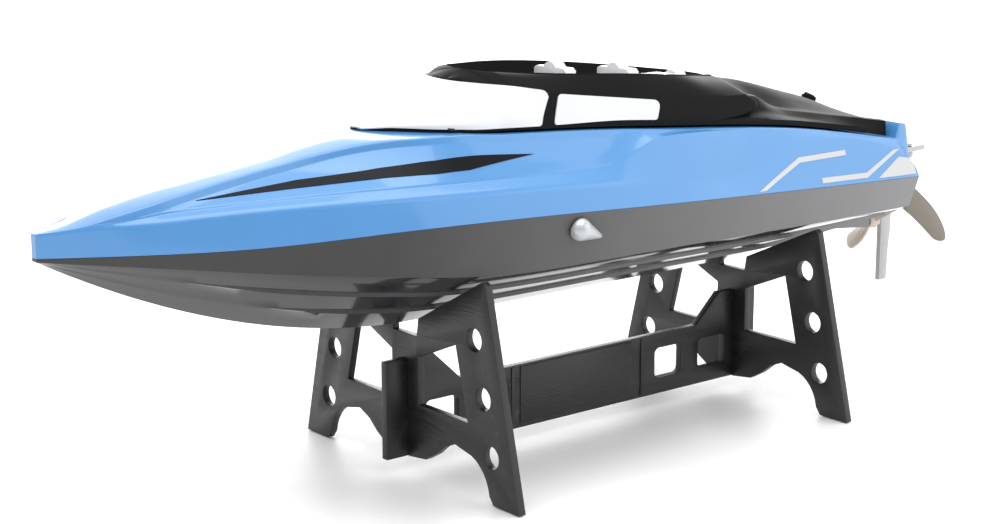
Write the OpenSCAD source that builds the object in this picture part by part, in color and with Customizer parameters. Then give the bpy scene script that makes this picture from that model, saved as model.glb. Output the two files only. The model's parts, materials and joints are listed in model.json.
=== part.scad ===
// Radio-controlled deep-V speedboat on its display stand.
// +X points to the bow, +Y to port, +Z up; the origin is on the floor under the middle.

/* [Hull] */
// Length of the hull from transom to stem
hull_length = 372.5; // [371:0.5:374]
// Greatest width at the seam between hull and deck
beam = 100; // [98:1:101]
// Greatest width at the chine
chine_beam = 90; // [88:1:91]
// Height of the keel above the floor
keel_height = 56; // [56:0.1:57]
// Wall thickness of hull and deck
wall = 2; // [1.6:0.1:2.2]
// Depth of the spray rails under the bottom
rail_depth = 1.2; // [0.6:0.1:1.4]
// Gap at the seam between hull and deck
seam_gap = 0.3; // [0.1:0.1:0.6]

/* [Canopy] */
// Wall thickness of the canopy
canopy_wall = 1.6; // [1.2:0.1:1.8]
// Clearance between the canopy and the deck
canopy_gap = 0.4; // [0.3:0.1:0.6]
// Height of the cockpit floor above the ground
cockpit_floor = 132.8; // [132.6:0.1:133]

/* [Drive] */
// Tilt of the propeller shaft
shaft_tilt = 7.5; // [7:0.5:8]
// Diameter of the propeller shaft
shaft_d = 2; // [1.8:0.1:2]
// Tip diameter of the propeller
prop_d = 34; // [30:1:34]
// Diameter of the motor can
motor_d = 24.4; // [20:0.4:24.4]

/* [Steering] */
// Radius of the servo horn and of the tiller arm
arm_r = 12; // [10:0.5:12]
// Height of the rudder blade's foot above the floor
rudder_foot = 33; // [30:1:40]

/* [Stand] */
// Thickness of the stand's plates
plate = 3; // [2.4:0.2:3]
// Width across the feet
foot_span = 129; // [126:1:130]
// Diameter of the round holes in the legs
leg_hole_d = 8.3; // [6:0.1:9]

/* [Hidden] */

$fn = 40;
eps = 0.01;

bow_x = 208.5;
transom_x = bow_x - hull_length;
mid_x = 2;
stem_half = 1.5;
front_frame_x = 65;
rear_frame_x = -104;
prop_x = -189.5;
prop_z = 60.5;
post_x = -198.5;
servo_x = -125;
servo_y = 9;
rod_z = 93.2;
boot_y = 15;
prop_angle = 57;
blade_sweep = 3;
blade_pitch = 28;
hatch_aft = -138;
hatch_fore = 62;
motor_at = 146;
motor_len = 34;
motor_shaft_r = 1.15;
outlet_x = 26;
outlet_z = 92.4;
inlet_x = -150;
inlet_y = -14;

// ---- interpolation along the boat ----

function clamp01(t) = min(max(t, 0), 1);
function smooth(t) = let(s = clamp01(t)) s * s * (3 - 2 * s);
function mix(a, b, t) = a + (b - a) * t;

// Smooth curve through [x, value] stations, sorted by x.
function station(p, x) = max([0, for (k = [1 : len(p) - 2]) if (x >= p[k][0]) k]);
function rate(p, k) =
    let(a = max(k - 1, 0), b = min(k + 1, len(p) - 1))
    (p[b][1] - p[a][1]) / (p[b][0] - p[a][0]);
function curve(p, x) =
    let(k = station(p, x), h = p[k + 1][0] - p[k][0], t = clamp01((x - p[k][0]) / h), u = 1 - t)
    u * u * (1 + 2 * t) * p[k][1] + t * t * (3 - 2 * t) * p[k + 1][1]
    + h * t * u * (u * rate(p, k) - t * rate(p, k + 1));

// ---- lines of the boat, each as stations [x, value] ----

seam_z = [[-164, 89.6], [-23, 96], [40, 98.8], [90, 99.4], [150, 98], [208.5, 99]];
chine_z = [[-164, 76.4], [-100, 77], [-20, 78.2], [60, 79.2], [96, 83], [134, 88], [173, 93.5], [208.5, 98]];
crease_y = [[-164, 44.5], [-125, 42.5], [-95, 42.5], [-64, 45], [-30, 47.5], [-6, 48]];
crease_z = [
    [-164, 93], [-153, 101.8], [-125, 109.5], [-95, 111.5], [-79, 108.3], [-64, 103.8], [-47, 101.5],
    [-6, 105], [32, 108.2], [59, 109.1], [97, 110.2], [145, 110.3], [200, 106.9], [208.5, 106]
];
groove_z = [
    [-164, 96], [-153, 106], [-125, 111.5], [-95, 115], [-60, 118.5], [-17, 120], [-6, 116.5],
    [2, 113.8], [14, 112.5], [60, 113], [115, 113.3], [162, 111.6], [200, 108], [208.5, 106.6]
];
ridge_y = [
    [-164, 40], [-155, 40.5], [-78, 39.5], [-28, 38], [28, 35.5], [62, 32.5], [78, 28], [90, 21.5],
    [104, 15.5], [122, 12.8], [167, 12.8], [182, 10.8], [197, 5.8], [208.5, 0.8]
];
ridge_z = [
    [62, 127.3], [78, 127.3], [92, 126.2], [107, 124], [122, 121.6], [137, 119.5], [152, 117.3], [167, 114.8],
    [182, 111.7], [197, 108.1], [208.5, 106.8]
];
cabin_y = [
    [-152, 37.5], [-100, 37.5], [-28, 35.8], [28, 33.2], [57, 30], [72, 26.5], [82, 20], [86.5, 11], [87.5, 3]
];
glass_top_y = [[-26, 33], [-13, 32.3], [5, 31.3], [25, 30], [38, 26.5], [49, 19.5], [54, 11], [56.7, 1.2]];
glass_top_z = [[-26, 132.4], [-13, 134.1], [5, 136.5], [25, 139.3], [38, 141.2], [49, 142.7], [56.7, 143.6]];
rim_y = [
    [-82, 8], [-78, 11.5], [-63, 17.8], [-48, 25], [-33, 27.7], [-18, 29], [2, 28.5], [12, 26.5],
    [22, 22.4], [32, 16.5], [42, 10.5], [46, 5]
];
rim_z = [[-82, 134], [-63, 136.4], [-33, 139.8], [-8, 142.1], [22, 144], [46, 146]];
shoulder_y = [[-152, 37], [-115, 30], [-95, 27], [-84, 29.5], [-76, 32.8], [-26, 33]];
shoulder_z = [[-152, 112.8], [-115, 118.6], [-100, 122], [-84, 128.5], [-60, 130.4], [-26, 132.4]];
spine_z = [[-152, 115.5], [-141, 120], [-125, 124.4], [-103, 130], [-86, 133], [-82, 134]];

// ---- sections: half outlines as [y, z] ----

function fullness(x) =
    x > mid_x
    ? 1 - pow(clamp01((x - mid_x) / (bow_x - mid_x)), 2.2)
    : 1 - 0.08 * pow((mid_x - x) / (mid_x - transom_x), 2);
function half_width(x, full) = mix(stem_half, full / 2, fullness(x));
function keel_z(x) =
    keel_height + 42 * pow(clamp01((x - 62) / (bow_x - 62)), 1.94) + 6 * pow(clamp01((-100 - x) / 64), 1.5);
// Height of the canopy's seat, and of the deck's raised edge beside and ahead of it.
function seat_z(x) = 129.3 - 0.0004 * pow(87 - x, 2) - 2.1 * smooth((88 - x) / 45) * smooth((x + 110) / 90);
function ridge_top(x) =
    x > 62
    ? curve(ridge_z, x)
    : seat_z(x) - 0.5 + 7 * smooth((-153 - x) / 3) - 13 * smooth((-159.5 - x) / 4.5);

// Spray rail drop at share s of the way from keel to chine.
rails = [[0, 0], [0.30, 0], [0.36, 1], [0.37, 0], [0.64, 0], [0.70, 1], [0.71, 0], [1, 0]];

function hull_half(x, inset) =
    let(
        yc = half_width(x, chine_beam) - inset,
        ys = half_width(x, beam) - inset,
        zk = keel_z(x) + 1.14 * inset,
        zc = curve(chine_z, x) + 0.6 * inset,
        zs = curve(seam_z, x),
        drop = (inset > 0 ? 0.3 : rail_depth) * mix(0.06, 1, fullness(x))
    )
    concat(
        [for (r = rails) [yc * r[0], mix(zk, zc, r[0]) - r[1] * drop]],
        [[mix(yc, ys, 0.5), mix(zc, zs, 0.5)], [ys, zs]]
    );

function deck_half(x, inset) =
    let(
        ys = half_width(x, beam) - inset,
        zs = curve(seam_z, x) + seam_gap,
        full = fullness(x),
        yd = (x < -6 ? curve(crease_y, x) : mix(stem_half, 48, full)) - inset,
        zd = curve(crease_z, x) - 0.4 * inset,
        yr = curve(ridge_y, x) - 0.7 * inset,
        zr = ridge_top(x) - inset,
        yg = min(max(mix(stem_half, 43, full) - 0.7 * inset, yr + 1.2), 0.96 * yd),
        zg = min(curve(groove_z, x) - inset, zr + 0.3),
        step = 2.2 * smooth((x + 14) / 20) * smooth((200 - x) / 60),
        foot_y = min(yr + 0.9, mix(yr, yg, 0.5)),
        edge_y = x > 62 ? 0.72 * yr : yr - 9 * clamp01(yr / 30),
        crown = (0.4 + 1.2 * smooth((x - 66) / 40)) * clamp01(yr / 20)
    )
    [
        [ys, zs], [yd, zd], [yg, min(zg, zr)],
        [mix(foot_y, yg, 0.45), min(mix(zr - step, zg, 0.5) - 0.3, zr)],
        [foot_y, zr - step], [yr, zr],
        [edge_y, zr + 0.4 * crown], [edge_y / 2, zr + 0.8 * crown], [0, zr + crown]
    ];

// Canopy section: base, glass foot, two points up the glass, glass top, roof edge,
// rim inside, foot of the cockpit wall, centre.
function canopy_half(x, inset) =
    let(
        yb = curve(cabin_y, x),
        zb = seat_z(x) + canopy_gap,
        screen_z = 129 + (87.5 - x) * 0.47,
        nose = x > 56.7,
        sill = [yb - 0.25, zb + min(1.8, 0.4 * (nose ? screen_z - zb : 20))],
        top = nose ? [min(1.2, 0.2 * yb), screen_z]
            : x > -26 ? [curve(glass_top_y, x), curve(glass_top_z, x)]
            : [curve(shoulder_y, x), curve(shoulder_z, x)],
        bulge = smooth((x - 25) / 25),
        mid = [for (a = [1, 2])
            [mix(mix(sill[0], top[0], a / 3), top[0] + (sill[0] - top[0]) * cos(30 * a), bulge),
             mix(mix(sill[1], top[1], a / 3), sill[1] + (top[1] - sill[1]) * sin(30 * a), bulge)]],
        roof_z = nose ? screen_z + 0.1 : mix(143.6, 146.3, clamp01((56.7 - x) / 10)),
        depth = smooth((46 - x) / 8) * smooth((x + 82) / 8),
        well_z = mix(x > 0 ? 146 : 134, cockpit_floor, depth),
        ry = curve(rim_y, x),
        rz = curve(rim_z, x),
        inner = x > 46
            ? [for (a = [1 : 4]) [top[0] * (1 - a / 4), mix(top[1], roof_z, smooth(a / 3))]]
            : x > -82
            ? [[ry, rz], [ry - min(1.6, 0.2 * ry), rz - 0.2], [ry - min(2.6, 0.4 * ry), min(well_z, rz - 0.4)],
               [0, min(well_z, rz - 0.4)]]
            : [[14, curve(spine_z, x) - 1.2], [9, curve(spine_z, x) - 0.3], [4, curve(spine_z, x)],
               [0, curve(spine_z, x)]],
        line = concat([[yb, zb], sill], mid, [top], inner)
    )
    inset == 0 ? line
    : concat(
        [[line[0][0] - inset, line[0][1]], [line[1][0] - inset, line[1][1]]],
        [
            for (k = [2 : 4])
                [line[k][0] - inset * clamp01(line[k][0] / 12), line[k][1] - inset * (nose ? 1 : 0.35)]
        ],
        x > 46 || x < -82
            ? [for (k = [5 : 8]) [line[k][0] * 0.94, line[k][1] - inset]]
            : [[ry - 0.1, rz - 2.2], [ry - 0.4, rz - 2.4], [line[7][0] + inset * depth, line[7][1] - inset],
               [0, line[8][1] - inset]]
    );

// Whole rows: the hull runs from starboard to port, deck and canopy from port to starboard.
function keel_up(half) = concat([for (k = [len(half) - 1 : -1 : 1]) [-half[k][0], half[k][1]]], half);
function side_in(half) = concat(half, [for (k = [len(half) - 2 : -1 : 0]) [-half[k][0], half[k][1]]]);
function row(x, outline) = [for (p = outline) [x, p[0], p[1]]];

// ---- generic closed solids from grids of points ----

// Shell between two matching grids. A cell for which is_open(i, j) holds is left out and walled
// round; capped ends are closed by flat walls that fan out from the middle of the end row's open side.
module shell(outer, inner, is_open = function(i, j) false, cap_aft = false, cap_fore = false) {
    rows = len(outer);
    cols = len(outer[0]);
    n = rows * cols;
    kept = function(i, j) i >= 0 && j >= 0 && i < rows - 1 && j < cols - 1 && !is_open(i, j);
    id = function(i, j) i * cols + j;
    wall_face = function(a, b) [a, b, n + b, n + a];
    skins = [for (i = [0 : rows - 2], j = [0 : cols - 2]) if (kept(i, j)) each [
        [id(i, j), id(i + 1, j), id(i + 1, j + 1), id(i, j + 1)],
        [n + id(i, j), n + id(i, j + 1), n + id(i + 1, j + 1), n + id(i + 1, j)]
    ]];
    walls = [for (i = [0 : rows - 2], j = [0 : cols - 2]) if (kept(i, j)) each [
        if (!kept(i, j - 1)) wall_face(id(i + 1, j), id(i, j)),
        if (!kept(i, j + 1)) wall_face(id(i, j + 1), id(i + 1, j + 1)),
        if (!kept(i - 1, j) && !(i == 0 && cap_aft)) wall_face(id(i, j), id(i, j + 1)),
        if (!kept(i + 1, j) && !(i == rows - 2 && cap_fore)) wall_face(id(i + 1, j + 1), id(i + 1, j))
    ]];
    fore = rows - 1;
    last = cols - 1;
    middle = function(r) (r[0] + r[last]) / 2;
    ends = [
        if (cap_aft) each concat(
            [for (j = [0 : last - 1]) each [
                [2 * n, id(0, j), id(0, j + 1)], [2 * n + 1, n + id(0, j + 1), n + id(0, j)]
            ]],
            [[id(0, 0), 2 * n, 2 * n + 1, n + id(0, 0)], [2 * n, id(0, last), n + id(0, last), 2 * n + 1]]
        ),
        if (cap_fore) each concat(
            [for (j = [0 : last - 1]) each [
                [2 * n + 2, id(fore, j + 1), id(fore, j)], [2 * n + 3, n + id(fore, j), n + id(fore, j + 1)]
            ]],
            [[2 * n + 2, id(fore, 0), n + id(fore, 0), 2 * n + 3],
             [id(fore, last), 2 * n + 2, 2 * n + 3, n + id(fore, last)]]
        )
    ];
    polyhedron(
        concat([for (r = outer) each r], [for (r = inner) each r],
            [middle(outer[0]), middle(inner[0]), middle(outer[fore]), middle(inner[fore])]),
        concat(skins, walls, ends), convexity = 8
    );
}

// Tube of radius r swept along a list of points, with flat ends.
module sweep(path, r, sides = 8) {
    count = len(path);
    rings = [for (k = [0 : count - 1])
        let(
            d = path[min(k + 1, count - 1)] - path[max(k - 1, 0)],
            t = d / norm(d),
            c = cross(t, [0.1, 0.2, 1]),
            u = c / norm(c),
            v = cross(t, u)
        )
        for (s = [0 : sides - 1]) path[k] + r * (cos(360 * s / sides) * u + sin(360 * s / sides) * v)];
    sidewalls = [for (k = [0 : count - 2], s = [0 : sides - 1])
        let(a = k * sides + s, b = k * sides + (s + 1) % sides) [a, a + sides, b + sides, b]];
    polyhedron(rings, concat(sidewalls, [[for (s = [0 : sides - 1]) s],
        [for (s = [sides - 1 : -1 : 0]) (count - 1) * sides + s]]), convexity = 4);
}

// ---- shared stations ----

stations = [
    transom_x, -163, -160.5, -158.5, -156, -153.5, -150, -144, -138, -128, -116, -104, -93, -82, -70, -58, -46, -34,
    -24, -16, -8, 0, 12, 30, 48, 62, 70, 78, 90, 104, 120, 138, 156, 172, 186, 197, 204, bow_x
];

// Inner skins keep inside both ends.
function inner_x(x) = x > 186 ? 186 + (x - 186) * 0.4 : x < -160 ? mix(-160, -162, (-160 - x) / 4) : x;

// ---- stand ----

module frame_outline(v_slope) {
    v = function(y) 54.3 + v_slope * y;
    tip = 44.2;
    half = concat(
        [[0, 52], [7, 52], [8, v(8)], [tip, v(tip)], [tip + 2, v(tip) - 1], [foot_span / 2, 0], [50.4, 0]],
        [for (a = [10 : 10 : 80]) [33 + 15.5 * cos(a), 17.5 * sin(a) - 0.2 * a / 10]],
        [[29, 17], [23, 14.5], [18, 10.5], [12, 7], [0, 5.5]]
    );
    polygon(concat(half, [for (k = [len(half) - 2 : -1 : 1]) [-half[k][0], half[k][1]]]));
}

module stand_frame(v_slope) {
    rotate([90, 0, 90])
        linear_extrude(plate, center = true)
            difference() {
                frame_outline(v_slope);
                for (m = [-1, 1]) {
                    polygon([[8 * m, 44.5], [29.5 * m, 53.6], [36.3 * m, 26.6], [8 * m, 26.6]]);
                    for (h = [[39.9, 57.3], [44.8, 37.1], [49.2, 17.1]])
                        translate([h[0] * m, h[1]]) circle(d = leg_hole_d);
                }
                translate([-plate / 2 - 0.1, -1]) square([plate + 0.2, 25]);
            }
}

module front_frame() {
    color("#262626")
        translate([front_frame_x, 0, 0]) stand_frame(0.545);
}

module rear_frame() {
    color("#262626")
        translate([rear_frame_x, 0, 0]) stand_frame(0.463);
}

module rounded_window(x0, x1) {
    r = 2.5;
    for (x = [x0 + r, x1 - r], z = [12.5 + r, 25 - r])
        translate([x, z]) circle(r);
    translate([x0 + r, 12.5]) square([x1 - x0 - 2 * r, 12.5]);
    translate([x0, 12.5 + r]) square([x1 - x0, 12.5 - 2 * r]);
}

module stand_spine() {
    mid = (front_frame_x + rear_frame_x) / 2;
    span = (front_frame_x - rear_frame_x) / 2;
    outline = [[0, 31], [span - 23, 31], [span - 10, 43], [span + 11, 42.5], [span + 11, 6], [0, 6]];
    color("#262626")
        translate([mid, 0, 0])
            rotate([90, 0, 0])
                linear_extrude(plate, center = true)
                    difference() {
                        polygon(concat(outline, [for (k = [4 : -1 : 1]) [-outline[k][0], outline[k][1]]]));
                        for (m = [-1, 1])
                            translate([m * span - plate / 2 - 0.1, 24.2]) square([plate + 0.2, 20]);
                        rounded_window(-53, -38);
                        rounded_window(38, 53);
                        rounded_window(-78, -62.5);
                        rounded_window(62.5, 78);
                    }
}

// ---- hull and deck ----

module hull_shell() {
    color("#77787b")
        difference() {
            shell(
                [for (x = stations) row(x, keel_up(hull_half(x, 0)))],
                [for (x = stations) row(inner_x(x), keel_up(hull_half(inner_x(x), wall)))],
                cap_aft = true, cap_fore = true
            );
            // notch for the shaft strut
            translate([-170, -2.8, 50]) cube([28, 5.6, 22.3]);
            // stem of the cooling outlet
            translate([outlet_x, 40, outlet_z]) rotate([-90, 0, 0]) cylinder(h = 14, r = 2.1);
            // cooling inlet
            translate([inlet_x, inlet_y, 60]) cylinder(h = 16, r = 1.85);
        }
}

module deck_shell() {
    edge = 6;
    last = 2 * len(deck_half(0, 0)) - 2;
    color("#3f93dd")
        difference() {
            shell(
                [for (x = stations) row(x, side_in(deck_half(x, 0)))],
                [for (x = stations) row(inner_x(x), side_in(deck_half(inner_x(x), wall)))],
                function(i, j) j >= edge && j < last - edge && stations[i] >= hatch_aft
                    && stations[i] < hatch_fore,
                cap_aft = true, cap_fore = true
            );
            // pushrod passage
            translate([transom_x - 2, boot_y, rod_z]) rotate([0, 90, 0]) cylinder(h = 10, r = 3.6);
        }
}

// ---- inside the hull ----

module battery_tray() {
    color("#303236")
        difference() {
            translate([-6, -18.4, 69.6]) cube([74, 36.8, 1.8]);
            for (x = [8, 48], y = [-16.4, 14])
                translate([x, y, 69]) cube([6, 2.4, 3]);
        }
}

module battery_pack() {
    color("#2d5fa8")
        translate([-2, -13.5, 71.5]) {
            for (s = [0, 1])
                translate([0, 7 + s * 13.2, 7]) rotate([0, 90, 0]) cylinder(h = 66, r = 6.9);
            translate([0, 7, 0.3]) cube([66, 13.2, 13.4]);
        }
}

module battery_strap() {
    color("#1c1c1e")
        for (x = [8.5, 48.5])
            translate([x, 0, 0])
                rotate([90, 0, 90])
                    linear_extrude(5)
                        difference() {
                            translate([-15.6, 71.6]) square([31.2, 15.6]);
                            translate([-14.4, 70]) square([28.8, 16]);
                        }
}

module electronics_shelf() {
    color("#303236")
        translate([80, -11, 75.4]) cube([44, 22, 1.6]);
}

module control_box() {
    color("#26282c")
        difference() {
            union() {
                translate([82, -14, 77.1]) cube([38, 28, 11]);
                translate([79.5, -9, 80]) cube([3, 18, 5]);
            }
            for (y = [-5, 5])
                translate([79, y, 82.5]) rotate([0, 90, 0]) cylinder(h = 3.4, r = 1.4);
        }
}

// Everything on the shaft line is placed by its distance forward of the propeller's middle.
module along_shaft(d) {
    translate([prop_x, 0, prop_z])
        rotate([0, 90 - shaft_tilt, 0])
            translate([0, 0, d]) children();
}

module motor_can() {
    color("silver")
        along_shaft(motor_at)
            difference() {
                union() {
                    cylinder(h = motor_len, d = motor_d);
                    translate([0, 0, -2]) cylinder(h = 3, r = 4);
                    translate([0, 0, motor_len - eps]) cylinder(h = 2.4, r = 4.5);
                }
                for (a = [0, 180])
                    rotate(a) translate([8, 0, motor_len - 2]) cylinder(h = 3, r = 1.5);
                translate([0, 0, -3]) cylinder(h = 22, r = motor_shaft_r + 0.05);
            }
}

module motor_mount() {
    color("#303236") {
        difference() {
            along_shaft(motor_at - 3.1)
                translate([-16, -15, 0]) cube([34, 30, 3]);
            along_shaft(motor_at - 4) cylinder(h = 5, r = 4.2);
            // room for the bottom's deadrise
            for (m = [0, 1])
                mirror([0, m, 0]) translate([-70, 0, 58.4]) rotate([25.7, 0, 0]) translate([0, 0, -20])
                    cube([60, 40, 20.2]);
            translate([-70, -20, 40]) cube([60, 40, 19.7]);
        }
    }
}

module cooling_jacket() {
    color("#c9cdd2")
        along_shaft(motor_at + 8) {
            difference() {
                cylinder(h = 18, d = motor_d + 3.4);
                translate([0, 0, -1]) cylinder(h = 20, d = motor_d + 0.1);
            }
            for (z = [4, 14])
                translate([-motor_d / 2 - 1.2, 0, z]) rotate([0, -90, 0]) cylinder(h = 5, r = 1.3);
        }
}

module water_inlet() {
    color("#b08d57")
        translate([inlet_x, inlet_y, 64.4])
            difference() {
                cylinder(h = 10.6, r = 1.8);
                translate([0, 0, -1]) cylinder(h = 13, r = 1.1);
            }
}

// Tip of a nipple on the cooling jacket, raised by an extra height.
function nipple(along, up) =
    let(d = motor_at + 8 + along, h = motor_d / 2 + 6.2 + up)
    [
        prop_x + d * cos(shaft_tilt) - h * sin(shaft_tilt),
        0,
        prop_z + d * sin(shaft_tilt) + h * cos(shaft_tilt)
    ];

// Hoses run along round-number routes between the fittings and the jacket.
inlet_route = concat(
    [[inlet_x, inlet_y, 75.05], [-150, -14, 79], [-147, -14, 83.5], [-140, -14, 87], [-125, -14, 89],
     [-100, -12, 91], [-78, -8, 95], [-60, -4, 101], [-48, -1.5, 106.5], [-41, -0.4, 108]],
    [nipple(4, 7), nipple(4, 0)]
);
outlet_route = concat(
    [nipple(14, 0), nipple(14, 6)],
    [[-24, 4, 110.5], [-16, 12, 112], [-4, 23, 108], [8, 32, 101], [17, 36, 95.5],
     [outlet_x - 1, 37.6, outlet_z + 0.3],
     [outlet_x, 39.8, outlet_z], [outlet_x, 41.65, outlet_z]]
);

module inlet_hose() {
    color("#d9dde2") sweep(inlet_route, 1.9);
}

module outlet_hose() {
    color("#d9dde2") sweep(outlet_route, 1.9);
}

// Teardrop cowl over the cooling outlet, with its hose stem through the hull side.
module outlet_fitting() {
    color("silver")
        difference() {
            union() {
                translate([outlet_x, 41.7, outlet_z]) rotate([-90, 0, 0]) cylinder(h = 7.5, r = 2);
                intersection() {
                    hull() {
                        translate([outlet_x, 49, outlet_z]) sphere(4.2, $fn = 32);
                        translate([outlet_x - 9.5, 48.6, outlet_z - 3.6]) sphere(1, $fn = 24);
                    }
                    translate([outlet_x, 48.75, outlet_z]) rotate([-14, 0, 0]) translate([-20, 0, -20])
                        cube([40, 20, 40]);
                }
            }
            translate([outlet_x, 40, outlet_z]) rotate([-90, 0, 0]) cylinder(h = 9.4, r = 1.2);
        }
}

module stuffing_tube() {
    color("#b5953f")
        along_shaft(6)
            difference() {
                cylinder(h = 118, r = 2);
                translate([0, 0, -1]) cylinder(h = 120, r = shaft_d / 2 + 0.05);
            }
}

module shaft_strut() {
    color("#6c6d70")
        difference() {
            rotate([90, 0, 0])
                linear_extrude(5, center = true)
                    polygon([
                        [-186.3, 58.6], [-152, 62], [-142.3, 61.4], [-142.3, 71.8], [-165, 71.8], [-186.3, 63.8]
                    ]);
            along_shaft(-5) cylinder(h = 60, r = 2.02);
        }
}

module servo_tray() {
    color("#303236")
        difference() {
            union() {
                translate([servo_x - 19.5, servo_y - 8, 80]) cube([39, 16, 2]);
                for (s = [-1, 1])
                    translate([servo_x + s * 16.8, servo_y, 69.2]) cylinder(h = 11, r = 2.4);
            }
            translate([servo_x - 12.2, servo_y - 6.2, 79]) cube([24.4, 12.4, 4]);
        }
}

module servo() {
    color("#1f4e9e") {
        translate([servo_x - 11.8, servo_y - 5.8, 70]) cube([23.6, 11.6, 18]);
        for (s = [-1, 1])
            translate([servo_x + (s > 0 ? 11.7 : -17.2), servo_y - 5.8, 82.1]) cube([5.5, 11.6, 2]);
        translate([servo_x, servo_y, 88 - eps]) cylinder(h = 1.6, r = 5);
        translate([servo_x, servo_y, 89]) cylinder(h = 3.8, r = 1.95);
    }
}

module rubber_boot() {
    color("#222224")
        translate([transom_x - 0.05, boot_y, rod_z])
            rotate([0, -90, 0])
                difference() {
                    union() {
                        cylinder(h = 1.2, r = 6.4);
                        for (k = [0 : 2])
                            translate([0, 0, 1.1 + 1.8 * k])
                                cylinder(h = 1.85, r1 = 5.4 - 0.3 * k, r2 = 4.6 - 0.3 * k);
                    }
                    translate([0, 0, -1]) cylinder(h = 9, r = 3.3);
                }
}

module rudder_bracket() {
    color("#8f9195")
        difference() {
            union() {
                translate([transom_x - 2.1, -9, 78.6]) cube([2, 18, 9.4]);
                translate([post_x, -3, 80]) cube([transom_x - 2 - post_x, 6, 6]);
                translate([post_x, 0, 79.6]) cylinder(h = 10, r = 3.6);
            }
            translate([post_x, 0, 70]) cylinder(h = 30, r = 1.55);
            for (y = [-6, 6])
                translate([transom_x - 4, y, 83.4]) rotate([0, 90, 0]) cylinder(h = 6, r = 1.05);
        }
}

module bracket_screws() {
    color("silver")
        for (y = [-6, 6])
            translate([transom_x - 2.15, y, 83.4])
                rotate([0, -90, 0])
                    difference() {
                        union() {
                            cylinder(h = 1.3, r = 1.9);
                            translate([0, 0, -1.9]) cylinder(h = 2, r = 1);
                        }
                        translate([-1.2, -0.25, 0.7]) cube([2.4, 0.5, 1]);
                    }
}

// Curved plates that stand off the transom's corners and bite in turns.
module turn_fins() {
    color("#86796a")
        for (m = [0, 1])
            mirror([0, m, 0])
                translate([0, 38, 0]) {
                    rotate([90, 0, 0])
                        linear_extrude(2.2, center = true)
                            union() {
                                translate([-187, 60.6]) circle(4.4);
                                polygon([
                                    [transom_x - 0.1, 87], [transom_x - 0.1, 76.5], [-176, 64.2], [-183, 58.6],
                                    [-187, 56.2], [-191.4, 60.6], [-189, 66], [-182, 74.5], [-172, 84.5]
                                ]);
                            }
                    translate([transom_x - 1.9, -8, 77]) cube([1.8, 8, 9]);
                }
}

// ---- drive train ----

module motor_shaft() {
    color("#c4c7cb")
        along_shaft(motor_at - 14.5) cylinder(h = 32, r = motor_shaft_r);
}

module prop_shaft() {
    color("#c4c7cb")
        along_shaft(-5.2) cylinder(h = 136, d = shaft_d);
}

module shaft_coupler() {
    color("#9b9ea3")
        along_shaft(124.8)
            difference() {
                cylinder(h = 12.4, r = 3.6);
                translate([0, 0, -1]) cylinder(h = 7, d = shaft_d);
                translate([0, 0, 6]) cylinder(h = 8, r = motor_shaft_r);
            }
}

// One scythe-shaped blade, drawn flat: x along the chord, y out to the tip.
function blade_edge(t, side) =
    [blade_sweep * t * t + side * (2.4 + 2.4 * sin(110 * t)), 2 + (prop_d / 2 - 5) * t];
module blade() {
    tip = blade_edge(1, 0);
    half_chord = blade_edge(1, 1)[0] - tip[0];
    linear_extrude(1.3, center = true)
        polygon(concat(
            [for (t = [0 : 0.2 : 1]) blade_edge(t, -1)],
            [for (a = [150 : -30 : 30]) tip + [half_chord * cos(a), 3 * sin(a)]],
            [for (t = [1 : -0.2 : 0]) blade_edge(t, 1)]
        ));
}

module propeller() {
    color("#d9c9b0")
        along_shaft(0)
            rotate([0, 0, prop_angle])
                difference() {
                    union() {
                        translate([0, 0, -2.5]) cylinder(h = 5, r = 3);
                        for (a = [0, 180])
                            rotate([0, 0, a]) rotate([0, blade_pitch, 0]) blade();
                    }
                    translate([0, 0, -5]) cylinder(h = 10, d = shaft_d);
                }
}

module prop_nut() {
    color("#b9bcc0")
        along_shaft(-5)
            difference() {
                cylinder(h = 2.4, r = 2.2, $fn = 6);
                translate([0, 0, -1]) cylinder(h = 5, d = shaft_d);
            }
}

// ---- steering ----

module arm_link(hub_r, hub_h, tip_r, hole_r) {
    cylinder(h = hub_h, r = hub_r);
    linear_extrude(2)
        polygon([[-hub_r * 0.8, 0], [hub_r * 0.8, 0], [tip_r * 0.85, arm_r], [-tip_r * 0.85, arm_r]]);
    translate([0, arm_r, 0]) cylinder(h = 2, r = tip_r);
}

module servo_horn() {
    color("#ececec")
        difference() {
            translate([servo_x, servo_y, 89.7]) arm_link(3.6, 3.4, 2.2, 1);
            translate([servo_x, servo_y, 88]) cylinder(h = 5, r = 2);
            translate([servo_x, servo_y + arm_r, 88]) cylinder(h = 5, r = 0.85);
        }
}

// Steel wire with a bent end in the servo horn, and a clevis on the tiller's pivot screw.
module pushrod() {
    horn_end = [servo_x, servo_y + arm_r, rod_z];
    tiller_end = [post_x, arm_r, rod_z];
    d = horn_end - tiller_end;
    color("#a8a29a") {
        translate(horn_end - [0, 0, 3.8]) cylinder(h = 4.6, r = 0.8);
        translate(tiller_end)
            rotate([0, 0, atan2(d[1], d[0])]) {
                translate([8, 0, 0]) rotate([0, 90, 0]) cylinder(h = norm(d) - 8, r = 0.8);
                difference() {
                    translate([-10, -2.2, -1]) cube([20, 4.4, 2.4]);
                    translate([0, 0, -3]) cylinder(h = 8, r = 1.05);
                }
            }
    }
}

module rudder_blade() {
    color("#b3b4b6")
        difference() {
            translate([post_x, 0, 0])
                rotate([90, 0, 0])
                    linear_extrude(2.2, center = true)
                        polygon([
                            [2.6, 78.4], [-4.4, 78.4], [-4.1, 55], [-3.2, 48],
                            [-2.6, rudder_foot], [2.3, rudder_foot]
                        ]);
            translate([post_x, 0, 55]) cylinder(h = 30, r = 0.8);
        }
}

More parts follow.
